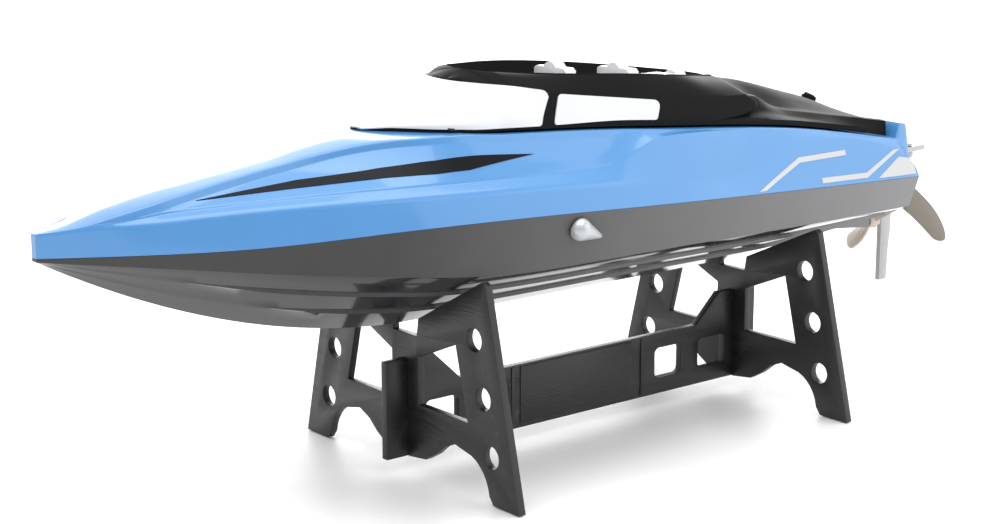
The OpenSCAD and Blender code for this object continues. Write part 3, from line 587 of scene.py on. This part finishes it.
BASE_FRONT = 87.5
NOSE_X = 48
GLASS_AFT = -26
RIM_FRONT = 41
RIM_AFT = -83
SPINE_FROM = -82
POD_X = -74
SILL = 0.1
LIP_X = [(0, -48), (0.12, -57), (0.25, -67), (0.45, -75), (0.7, -78), (1, -73)]
LIP_DEPTH = 4.6
SCREEN_FOOT_Z = 127.9
SCREEN_SLOPE = 0.341
NOSE_TOP_Z = 141.6
COCKPIT_FLOOR = 132.8
SIDE_STEPS = [0, 0.05, 0.1, 0.17, 0.25, 0.35, 0.45, 0.55, 0.65, 0.75, 0.84, 0.92, 1]
BAND_STEPS = [0.05, 0.12, 0.25, 0.4, 0.58, 0.76, 0.9, 1]


def nose_seat_z(x, y):
    """Height of the crowned deck under the canopy's nose."""
    half = max(curve(RIDGE_Y, x), 1)
    return ridge_top(x) + deck_crown(x, half) * (1 - (y / half) ** 2)


def screen_z(x):
    """Centre line of the windshield ahead of the roof band."""
    return SCREEN_FOOT_Z + (BASE_FRONT - x) * SCREEN_SLOPE


def canopy_side(x, t):
    """Point of the canopy's side, from its base (t = 0) past the sill to the top of the glass (t = 1)."""
    yb = curve(CABIN_Y, x)
    zb = mix(seat_z(x) + 0.4, nose_seat_z(x, yb) + 0.2, smooth((x - 44) / 18))
    height = screen_z(x) - zb if x > NOSE_X else 20
    sill = (yb - 0.25, zb + min(mix(0.9, 2.0, smooth((30 - x) / 40)), 0.4 * height))
    if x > NOSE_X:
        top = (min(1.2, 0.2 * yb), screen_z(x))
    elif x > GLASS_AFT:
        top = (curve(GLASS_TOP_Y, x), curve(GLASS_TOP_Z, x))
    else:
        top = (curve(SHOULDER_Y, x), curve(SHOULDER_Z, x))
    if t < SILL:
        return mix(yb, sill[0], t / SILL), mix(zb, sill[1], t / SILL)
    a = (t - SILL) / (1 - SILL)
    bulge = smooth((x - 25) / 20)
    y = mix(mix(sill[0], top[0], a), top[0] + (sill[0] - top[0]) * math.cos(math.pi / 2 * a), bulge)
    z = mix(mix(sill[1], top[1], a), sill[1] + (top[1] - sill[1]) * math.sin(math.pi / 2 * a), bulge)
    return y, z


def lip_at(t):
    """Where the pod's lip crosses the side at a height share."""
    return curve(LIP_X, t)


def canopy_skin(x, t):
    """The side with the raised pod that ends in a D-shaped lip, and the hollow behind it."""
    y, z = canopy_side(x, t)
    behind = smooth((lip_at(t) - x) / 4.4) * smooth((t - 0.02) / 0.4) * (1 - smooth((-98 - x) / 22))
    return y - LIP_DEPTH * behind * (1 - 0.5 * t), z - 0.8 * behind * t


def rim_half(x):
    """Half width of the cockpit's opening, rounded at both ends."""
    if not RIM_AFT < x < RIM_FRONT:
        return 0
    return curve(RIM_Y, x) * math.sqrt(clamp((RIM_FRONT - x) / 4)) * math.sqrt(clamp((x - RIM_AFT) / 6))


def rim_height(x):
    """Height of the windshield's ridge, the cockpit's rim and the spine behind it."""
    if x > NOSE_X:
        return screen_z(x) + 0.1
    if x > RIM_FRONT:
        return mix(curve(RIM_Z, RIM_FRONT), NOSE_TOP_Z, (x - RIM_FRONT) / (NOSE_X - RIM_FRONT))
    return curve(RIM_Z, x) if x > SPINE_FROM else curve(SPINE_Z, x)


def canopy_column(u):
    """Row of points at station u, from the port base over the rim or spine to the centre."""
    row = []
    bend = math.exp(-((u - POD_X) / 22) ** 2)
    for t in SIDE_STEPS:
        x = u + (lip_at(t) - POD_X) * bend
        row.append((x, *canopy_skin(x, t)))
    x0, y0, z0 = row[-1]
    ry, rz = rim_half(u), rim_height(u)
    hump = smooth((-72 - u) / 14)
    for f in BAND_STEPS:
        crown = (0.9 if u < NOSE_X else 0.2) * math.sin(math.pi * f) * (1 - hump)
        rise = mix(f, smooth((f - 0.2) / 0.8), hump)
        edge = 0.5 * hump * math.exp(-((f - 0.07) / 0.06) ** 2)
        row.append((mix(x0, u, f), mix(y0, ry, f), mix(z0, rz, rise) + crown + edge))
    depth = rz - COCKPIT_FLOOR
    k = clamp(ry / 8)
    for inward, drop in ((0.5, -0.35), (1.1, -0.25), (1.5, 0.4)):
        row.append((u, ry - inward * k, rz + drop * k))
    for inward, share in ((1.9, 0.3), (2.4, 0.6), (3.0, 0.88), (4.5, 1), (0.5 * ry, 1)):
        row.append((u, max(ry - inward * k, 0.02), rz - depth * share * smooth(ry / 9)))
    row.append((u, 0, rz - depth * smooth(ry / 9)))
    return row


def canopy_inner(u):
    """The underside that backs a row."""
    u = min(max(u, -150.4), 84.5)
    row = canopy_column(u)
    sides, band = len(SIDE_STEPS), len(SIDE_STEPS) + len(BAND_STEPS)
    open_top = RIM_AFT < u < RIM_FRONT
    out = []
    for k, (x, y, z) in enumerate(row):
        if k < sides:
            out.append((x, y - 1.4 * clamp(y / 8), z - 1.2 * k / sides * (1 if u < 40 else 1.3)))
        elif k < band or not open_top:
            out.append((x, y * 0.95, z - 1.5))
        else:
            out.append((x, y + 0.9 * clamp(y / 4), z - 1.3))
    return out


def build_canopy():
    stations = (steps_between(-152, -100, 2) + steps_between(-98.8, -52, 1.2) + steps_between(-50, 36, 2)
                + steps_between(37, NOSE_X, 0.5) + steps_between(49, 83.5, 1.5)
                + steps_between(84.3, 87.4, 0.62))
    outer = [both_sides(canopy_column(u)) for u in stations]
    inner = [both_sides(canopy_inner(u)) for u in stations]
    canopy = shell("canopy", outer, inner, cap_aft=True, sharp=38, merge=0.02)
    stand_for(paint(canopy, "canopy_black"), "canopy_shell")


def glass_point(x, t, lift):
    """Point lifted off the canopy's side along the side's own normal."""
    d = 0.01
    y0, z0 = canopy_side(x, max(t - d, 0))
    y1, z1 = canopy_side(x, min(t + d, 1))
    y, z = canopy_side(x, t)
    n = math.hypot(z1 - z0, y1 - y0) or 1
    return x, max(y + (z1 - z0) / n * lift, 0), z - (y1 - y0) / n * lift


def corner(distance, radius):
    """How far an edge with a rounded end has moved in, this far from the end."""
    if distance >= radius:
        return 0
    return radius - math.sqrt(max(radius ** 2 - (radius - distance) ** 2, 0))


GLASS_OUT = 0.5
GLASS_OUT_FRONT = 0.55
GLASS_IN = 0.05


def build_windshield():
    rear, fore = 25.2, 86.6
    stations = ([rear + d for d in (0, 0.3, 0.8, 1.5, 2.5)] + steps_between(29, 35, 2)
                + steps_between(36, NOSE_X, 1) + steps_between(49.2, 84, 1.4) + [84.8, 85.6, 86.2, fore])
    shares = [i / 12 for i in range(13)]

    def row(x, lift):
        height = max(canopy_side(x, 1)[1] - canopy_side(x, 0)[1], 3)
        low = SILL + corner(x - rear, 1.6) / height
        high = 0.985 - corner(x - rear, 2.2) / height if x < NOSE_X else 1
        slant = 4.5 * smooth((45 - x) / 18)
        half = [glass_point(x + slant * (1 - s), mix(low, high, s), lift) for s in shares]
        if x >= NOSE_X:
            half[-1] = (x, 0.02, half[-1][2] + 0.1)
        return half + [(px, -py, pz) for px, py, pz in half[::-1]]

    count = len(shares)

    def over_roof(i, j):
        return j == count - 1 and stations[i] < NOSE_X

    glass = shell("windshield_glass", [row(x, GLASS_OUT_FRONT) for x in stations],
                  [row(x, GLASS_IN) for x in stations], over_roof, sharp=50, merge=0.01)
    stand_for(paint(glass, "glazing_white"), "windshield")


def build_side_window(side, name):
    rear, fore = -27.5, 20.2
    stations = ([rear + d for d in (0, 0.2, 0.5, 1, 1.6, 2.4, 3.4, 4.6)] + steps_between(-20, 16, 3)
                + [fore - d for d in (2.4, 1.4, 0.7, 0.25, 0)])
    shares = [i / 8 for i in range(9)]

    def row(u, lift):
        height = canopy_side(u, 1)[1] - canopy_side(u, 0)[1]
        top = corner(u - rear, 3.4) + corner(fore - u, 1.2)
        foot = corner(u - rear, 1.0) + corner(fore - u, 1.2)
        low, high = SILL + 0.01 + foot / height, 0.92 - top / height
        points = []
        for s in shares:
            t = mix(low, high, s)
            slant = (1 - t) * (4.5 * smooth((-10 - u) / 15) + 5.0 * smooth((u + 5) / 20))
            x, y, z = glass_point(u + slant, t, lift)
            points.append((x, side * y, z))
        return points

    glass = shell(name, [row(u, GLASS_OUT) for u in stations], [row(u, GLASS_IN) for u in stations],
                  sharp=50, merge=0.01)
    stand_for(paint(glass, "glazing_white"), "side_windows")


build_canopy()
build_windshield()
build_side_window(1, "side_window_port")
build_side_window(-1, "side_window_starboard")

# ---------------------------------------------------------------- decals, laid on the deck

FLASH_LINE = [(159, 14, 113), (124, 21, 116), (96, 28, 117), (78, 34, 118), (65, 36, 118), (38, 38, 119)]
FLASH_WIDTH = 5
FLASH_ACROSS = (0.3, 0.8, -0.5)
STRIPE_WIDTH = 2
STRIPE_ABOVE = [(-67, 49, 95), (-91, 45, 104), (-119, 44, 104)]
STRIPE_BELOW = [(-102, 48, 95), (-130, 47, 94), (-151, 44, 102)]
STERN_FLASH = [((-137, 47, 92), (-152, 45, 99)), ((-162, 46, 91), (-162, 44, 97))]
FILM_OVER = 0.2
FILM_UNDER = 0.15
FILM_PITCH = 1.6
FILM_COLUMNS = 4
CAST_FROM = 25


def tapered(line, width, across):
    """Edge pairs along a line, for a strip that is pointed at both ends."""
    rows = []
    for k, point in enumerate(line):
        share = min(1, 1.6 * math.sin(math.pi * k / (len(line) - 1)))
        half = Vector(across).normalized() * width * share / 2
        rows.append((Vector(point) - half, Vector(point) + half))
    return rows


def bent_stripe(line, width):
    """Edge pairs for a stripe of one level leg and one sloping leg."""
    rows = []
    for k, point in enumerate(line):
        a, b = line[max(k - 1, 0)], line[min(k + 1, len(line) - 1)]
        sloping = abs(b[2] - a[2]) > 4 and k in (0, len(line) - 1)
        half = Vector((width, 0, 0)) if sloping else Vector((0, 0, width / 2))
        rows.append((Vector(point) + half, Vector(point) - half))
    return rows


def laid_on(surface, name, strip, towards, material_name):
    """A thin strip of film, given as pairs of edge points, dropped on to a surface."""
    towards = Vector(towards).normalized()
    rows = [tuple(Vector(point) for point in pair) for pair in strip]
    outer, inner = [], []
    for k in range(len(rows) - 1):
        a, b = rows[k], rows[k + 1]
        steps = max(2, round((b[0] - a[0]).length / FILM_PITCH))
        for i in range(steps + (k == len(rows) - 2)):
            ends = [a[e].lerp(b[e], i / steps) for e in (0, 1)]
            top, under = [], []
            for j in range(FILM_COLUMNS + 1):
                at = ends[0].lerp(ends[1], j / FILM_COLUMNS)
                hit, normal, _, _ = surface.ray_cast((at - towards * CAST_FROM) * MM, towards)
                if hit is None:
                    hit, normal, _, _ = surface.find_nearest(at * MM)
                top.append(tuple(hit / MM + normal * FILM_OVER))
                under.append(tuple(hit / MM - normal * FILM_UNDER))
            outer.append(top)
            inner.append(under)
    detail_of(paint(shell(name, outer, inner, sharp=60), material_name), "deck_shell")


def build_decals():
    surface = BVHTree.FromObject(deck, bpy.context.evaluated_depsgraph_get())
    level, slanting = (-1, 0), (-0.6, -0.8)
    black, white = ("decal_black", "canopy_black"), ("decal_white", "glazing_white")
    films = (
        ("flash", tapered(FLASH_LINE, FLASH_WIDTH, FLASH_ACROSS), slanting, black),
        ("stripe_above", bent_stripe(STRIPE_ABOVE, STRIPE_WIDTH), level, white),
        ("stripe_below", bent_stripe(STRIPE_BELOW, STRIPE_WIDTH), level, white),
        ("stern_flash", STERN_FLASH, level, white),
    )
    for name, strip, (dy, dz), (colour, slot) in films:
        for side, suffix in ((1, "port"), (-1, "starboard")):
            mirrored = [tuple((x, side * y, z) for x, y, z in pair) for pair in strip]
            laid_on(surface, name + "_" + suffix, mirrored, (0, side * dy, dz), colour)


build_decals()

# ---------------------------------------------------------------- fins and the spine's panels

def block_outline(x0, x1, z0, z1):
    return [(x0, z0), (x1, z0), (x1, z1), (x0, z1)]


FIN_EDGE = [
    (-163, 87), (-163, 77), (-172, 70), (-178, 65.5), (-183, 61.5), (-187, 58.5), (-191, 57.5),
    (-193, 59), (-191.5, 63.5), (-187.5, 69), (-182, 74.5), (-175, 80), (-168.5, 84.5),
]
FIN_INNER_Y = 36.9
FIN_OUTER_Y = 39.1
FIN_ROUNDING = 0.45
FIN_FOOT = [(-162, 77), (-162, 86), (-165.4, 86), (-165.4, 77)]
FIN_FOOT_INNER_Y = 30
FIN_FOOT_OUTER_Y = 37.5
FIN_FOOT_ROUNDING = 0.4
SPINE_PIECES = (
    ("panel", block_outline(-44.5, 13.4, 7.6, 30.2)),
    ("rib_aft", block_outline(-51, -49.6, 7, 30.4)),
    ("rib_fore", block_outline(16.4, 17.8, 7, 30.4)),
)
SPINE_PIECE_INNER_Y = 1.3
SPINE_PIECE_OUTER_Y = 1.95
SPINE_PIECE_ROUNDING = 0.2


def plate(name, outline, y0, y1):
    """Flat plate standing in the x-z plane between two y values."""
    n = len(outline)
    verts = [(x, y0, z) for x, z in outline] + [(x, y1, z) for x, z in outline]
    faces = [tuple(range(n)), tuple(range(2 * n - 1, n - 1, -1))]
    faces += [(i, n + i, n + (i + 1) % n, (i + 1) % n) for i in range(n)]
    return new_object(name, verts, faces)


def between(a, b, c, d, t):
    """Point of the rounded line through four points, a share t of the way from b to c."""
    return 0.5 * (2 * b + (c - a) * t + (2 * a - 5 * b + 4 * c - d) * t * t
                  + (3 * b - a - 3 * c + d) * t ** 3)


def smooth_loop(points):
    """Closed outline through the points, rounded between them except along its first and last edges."""
    n = len(points)
    parts = 4
    loop = [points[0]]
    for k in range(1, n - 1):
        corners = [points[(k + i) % n] for i in (-1, 0, 1, 2)]
        for i in range(parts):
            loop.append(tuple(between(*values, i / parts) for values in zip(*corners)))
    loop.append(points[-1])
    return loop


def build_fins():
    edge = smooth_loop(FIN_EDGE)
    for side, name in ((1, "fin_port"), (-1, "fin_starboard")):
        blade = plate(name, edge[::side], side * FIN_INNER_Y, side * FIN_OUTER_Y)
        stand_for(paint(bevelled(blade, FIN_ROUNDING), "fin_brown"), "turn_fins")
        foot = plate(name + "_foot", FIN_FOOT[::side], side * FIN_FOOT_INNER_Y, side * FIN_FOOT_OUTER_Y)
        stand_for(paint(bevelled(foot, FIN_FOOT_ROUNDING), "fin_brown"), "turn_fins")


def build_spine_panels():
    """Blank panel and two ribs on each side of the stand's spine."""
    for side, suffix in ((1, "port"), (-1, "starboard")):
        for name, outline in SPINE_PIECES:
            piece = plate(name + "_" + suffix, outline[::side], side * SPINE_PIECE_INNER_Y,
                          side * SPINE_PIECE_OUTER_Y)
            detail_of(paint(bevelled(piece, SPINE_PIECE_ROUNDING), "stand_black"), "stand_spine")


build_fins()
build_spine_panels()

# ---------------------------------------------------------------- pieces that keep the CAD's shape

EDGE_WIDTH = {
    "front_frame": 0.35, "rear_frame": 0.35, "stand_spine": 0.35, "outlet_fitting": 0.3, "shaft_strut": 0.8,
    "rudder_bracket": 0.4, "rudder_blade": 0.7, "tiller_arm": 0.3, "propeller": 0.3, "canopy_lock": 0.35,
    "cockpit_seats": 0.7, "battery_pack": 1.6, "battery_tray": 0.3, "control_box": 0.6,
    "electronics_shelf": 0.3, "motor_mount": 0.3, "servo": 0.35, "servo_tray": 0.3, "servo_horn": 0.25,
    "inner_hatch": 0.5,
}
HATCH_CORNER_X = 50
HATCH_CORNER_SHARE = 0.12


def draw_in_hatch(hatch):
    """Draws in the hatch's front corners, so they clear the canopy's rounded nose."""
    for vertex in hatch.data.vertices:
        along = (vertex.co.x / MM - HATCH_CORNER_X) / (HATCH_FORE - HATCH_CORNER_X)
        vertex.co.y *= 1 - HATCH_CORNER_SHARE * clamp(along)


soft = {}
for node, width in EDGE_WIDTH.items():
    soft[node] = paint(cad_copy(node, node + "_soft", width), NODE_SLOT[node])
draw_in_hatch(soft["inner_hatch"])

# ---------------------------------------------------------------- stage and light

FLOOR_HALF = 2500
FLOOR_Z = -0.4
SKY_LOW = 0.42
SKY_HIGH = 1.15
SKY_SEEN = 1.06
LAMPS = (
    ("top_light", (0.1, 0.1, 1.3), (0, 0, 0.1), (1.4, 1.4), 14),
    ("key_light", (-1.3, 1.2, 0.55), (-0.05, 0, 0.1), (2.4, 1.6), 14),
    ("backdrop_light", (-1.7, -2.0, 0.85), (0, 0, 0.15), (3.2, 1.0), 52),
    ("bow_light", (1.4, -0.3, 0.7), (0, 0, 0.1), (0.8, 0.8), 0.8),
)


def build_floor():
    corners = [(x * FLOOR_HALF, y * FLOOR_HALF, FLOOR_Z) for x, y in ((-1, -1), (1, -1), (1, 1), (-1, 1))]
    floor = new_object("floor", corners, [(0, 1, 2, 3)])
    floor.data.materials.append(material("floor_white", (0.9, 0.9, 0.91), 0.5, vary=0.01, bump=0.0))


def build_sky():
    """White surroundings, brighter overhead, with an even white where the camera sees them."""
    world = bpy.data.worlds.new("studio")
    bpy.context.scene.world = world
    world.use_nodes = True
    nodes, links = world.node_tree.nodes, world.node_tree.links
    background = nodes["Background"]
    background.inputs["Color"].default_value = (1, 1, 1, 1)
    place = nodes.new("ShaderNodeTexCoord")
    split = nodes.new("ShaderNodeSeparateXYZ")
    height = nodes.new("ShaderNodeMapRange")
    height.inputs["From Min"].default_value = -0.1
    height.inputs["From Max"].default_value = 0.9
    height.inputs["To Min"].default_value = SKY_LOW
    height.inputs["To Max"].default_value = SKY_HIGH
    ray = nodes.new("ShaderNodeLightPath")
    seen = nodes.new("ShaderNodeMix")
    seen.inputs["B"].default_value = SKY_SEEN
    links.new(place.outputs["Generated"], split.inputs["Vector"])
    links.new(split.outputs["Z"], height.inputs["Value"])
    links.new(ray.outputs["Is Camera Ray"], seen.inputs["Factor"])
    links.new(height.outputs["Result"], seen.inputs["A"])
    links.new(seen.outputs["Result"], background.inputs["Strength"])


def add_lamp(name, at, towards, size, power):
    data = bpy.data.lights.new(name, "AREA")
    data.shape = "RECTANGLE"
    data.size, data.size_y = size
    data.energy = power
    lamp = bpy.data.objects.new(name, data)
    lamp.location = at
    lamp.rotation_euler = (Vector(towards) - Vector(at)).to_track_quat("-Z", "Y").to_euler()
    bpy.context.scene.collection.objects.link(lamp)


build_floor()
build_sky()
for lamp_values in LAMPS:
    add_lamp(*lamp_values)
bpy.context.scene.view_settings.view_transform = "Standard"
for name, node in frame["nodes"].items():
    if not node.hide_render:
        paint(node, NODE_SLOT[name])
